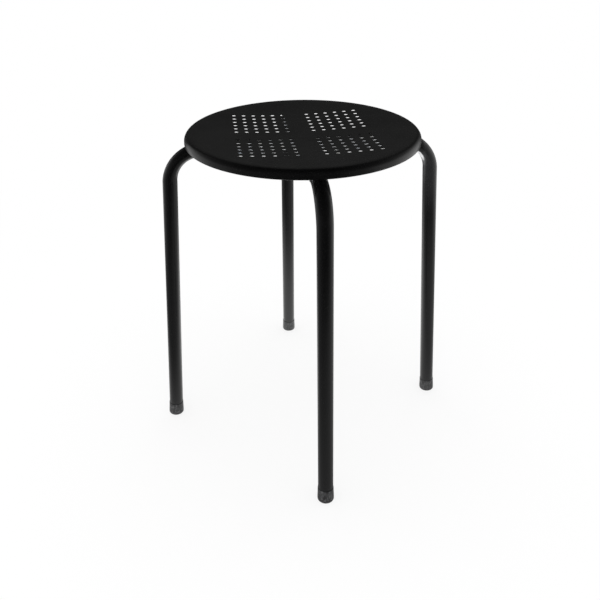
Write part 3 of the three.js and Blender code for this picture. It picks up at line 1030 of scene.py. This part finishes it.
# Levels from the horizon, 0, to straight above, 1
PANEL_FADE = [(0, 1), (0.15, 0.9), (0.28, 0.62), (0.42, 0.30), (0.60, 0.11), (0.79, 0.03), (1, 0)]
CEILING_FADE = [(0, 0.03), (0.15, 0.042), (0.28, 0.042), (0.42, 0.042), (0.60, 0.045),
                (0.79, 0.03), (1, 0.003)]
ROOM_FILL = 0.8

# The floor, as the camera sees it: distances from the stool's axis, and shares of plain white
FLOOR_HALF = 20
FLOOR_COLOR = (0.9, 0.9, 0.9)
SHADOW_REACH = (0.4, 1.2)
WHITE_SHARE = (0.8, 1)

# The floor in reflections: near the stool it is brightest at the back and the right, with a
# bright pool behind the middle, and far from it it has the room's level.
NEAR_REACH = (0.5, 1.1)
NEAR_Y, NEAR_LEVEL_Y = (-1.1, 0.0), (0.33, 1.0)
NEAR_X, NEAR_LEVEL_X = (-0.5, 0.5), (0.20, 0.52)
POOL_X = -0.05
POOL_Y = 0.24
POOL_SHARE_X = 0.8
POOL_REACH, POOL_LEVEL = (0.08, 0.45), (1.05, 0)
MIRROR_BASE = 0.02

# Lamps: name, place, target, size and power
LAMPS = [("ceiling", (0, 0.2, 2.4), (0, 0, 0), (2.4, 2.4), 25),
         ("front_fill", (-0.4, -2.6, 0.3), (0, 0, 0.25), (1.8, 0.4), 26)]


def room_level(graph, x, y):
    turn = graph.ranged(graph.math("ARCTAN2", x, y), (-math.pi, math.pi), (0, 1))
    return graph.ramp(turn, [((angle + 180) / 360, level) for angle, level in ROOM])


def floor():
    bm = bmesh.new()
    bmesh.ops.create_grid(bm, x_segments=1, y_segments=1, size=FLOOR_HALF)
    mesh = bpy.data.meshes.new("floor")
    bm.to_mesh(mesh)
    bm.free()
    made = linked("floor", mesh)
    material = bpy.data.materials.new("pale_floor")
    mesh.materials.append(material)
    graph = Graph(material)
    graph.nodes.clear()
    path = graph.nodes.new("ShaderNodeLightPath").outputs
    matte = graph.nodes.new("ShaderNodeBsdfDiffuse")
    matte.inputs["Color"].default_value = (*FLOOR_COLOR, 1)
    x, y, z = graph.split(graph.place("Object"))
    distance = graph.reach(x, y)

    # The floor takes the stool's shadow near it and runs into the white background far from it.
    seen = graph.plus(path["Is Camera Ray"], path["Is Transmission Ray"])
    lift = graph.ranged(distance, SHADOW_REACH, WHITE_SHARE, smooth=True)
    plain = graph.light("Emission", 1.0)
    white = graph.either(graph.times(seen, lift), matte.outputs["BSDF"], plain)

    far = graph.ranged(distance, NEAR_REACH, (0, 1), smooth=True)
    along = graph.ranged(y, NEAR_Y, NEAR_LEVEL_Y, smooth=True)
    across = graph.ranged(x, NEAR_X, NEAR_LEVEL_X, smooth=True)
    near_level = graph.times(graph.times(along, across), graph.math("SUBTRACT", 1, far))
    far_level = graph.times(room_level(graph, x, y), far)
    from_pool = graph.reach(graph.times(graph.plus(x, -POOL_X), POOL_SHARE_X),
                            graph.plus(y, -POOL_Y))
    pool = graph.plus(graph.ranged(from_pool, POOL_REACH, POOL_LEVEL, smooth=True), MIRROR_BASE)
    level = graph.plus(graph.plus(near_level, far_level), pool)
    mirrored = graph.light("Emission", level)
    graph.output("Material", graph.either(path["Is Glossy Ray"], white, mirrored))


def world():
    made = bpy.data.worlds.new("studio")
    bpy.context.scene.world = made
    graph = Graph(made)
    graph.nodes.clear()
    path = graph.nodes.new("ShaderNodeLightPath").outputs
    x, y, z = graph.split(graph.place("Generated"))
    panels = graph.times(room_level(graph, x, y), graph.ramp(z, PANEL_FADE))
    mirrored = graph.light("Background", graph.plus(panels, graph.ramp(z, CEILING_FADE)))
    fill = graph.light("Background", ROOM_FILL)
    unseen = graph.either(path["Is Glossy Ray"], fill, mirrored)
    seen = graph.plus(path["Is Camera Ray"], path["Is Transmission Ray"])
    graph.output("World", graph.either(seen, unseen, graph.light("Background", 1.0)))


def lamp(name, place, target, size, power):
    """A rectangular lamp that lights the stool but isn't seen, in reflections either."""
    data = bpy.data.lights.new(name, "AREA")
    data.shape = "RECTANGLE"
    data.size, data.size_y = size
    data.energy = power
    made = linked(name, data)
    made.location = place
    direction = Vector(target) - Vector(place)
    made.rotation_mode = "QUATERNION"
    made.rotation_quaternion = direction.to_track_quat("-Z", "Y")
    made.visible_glossy = False
    made.visible_camera = False


camera()
floor()
world()
for settings in LAMPS:
    lamp(*settings)

scene = bpy.context.scene
scene.view_settings.view_transform = "Standard"
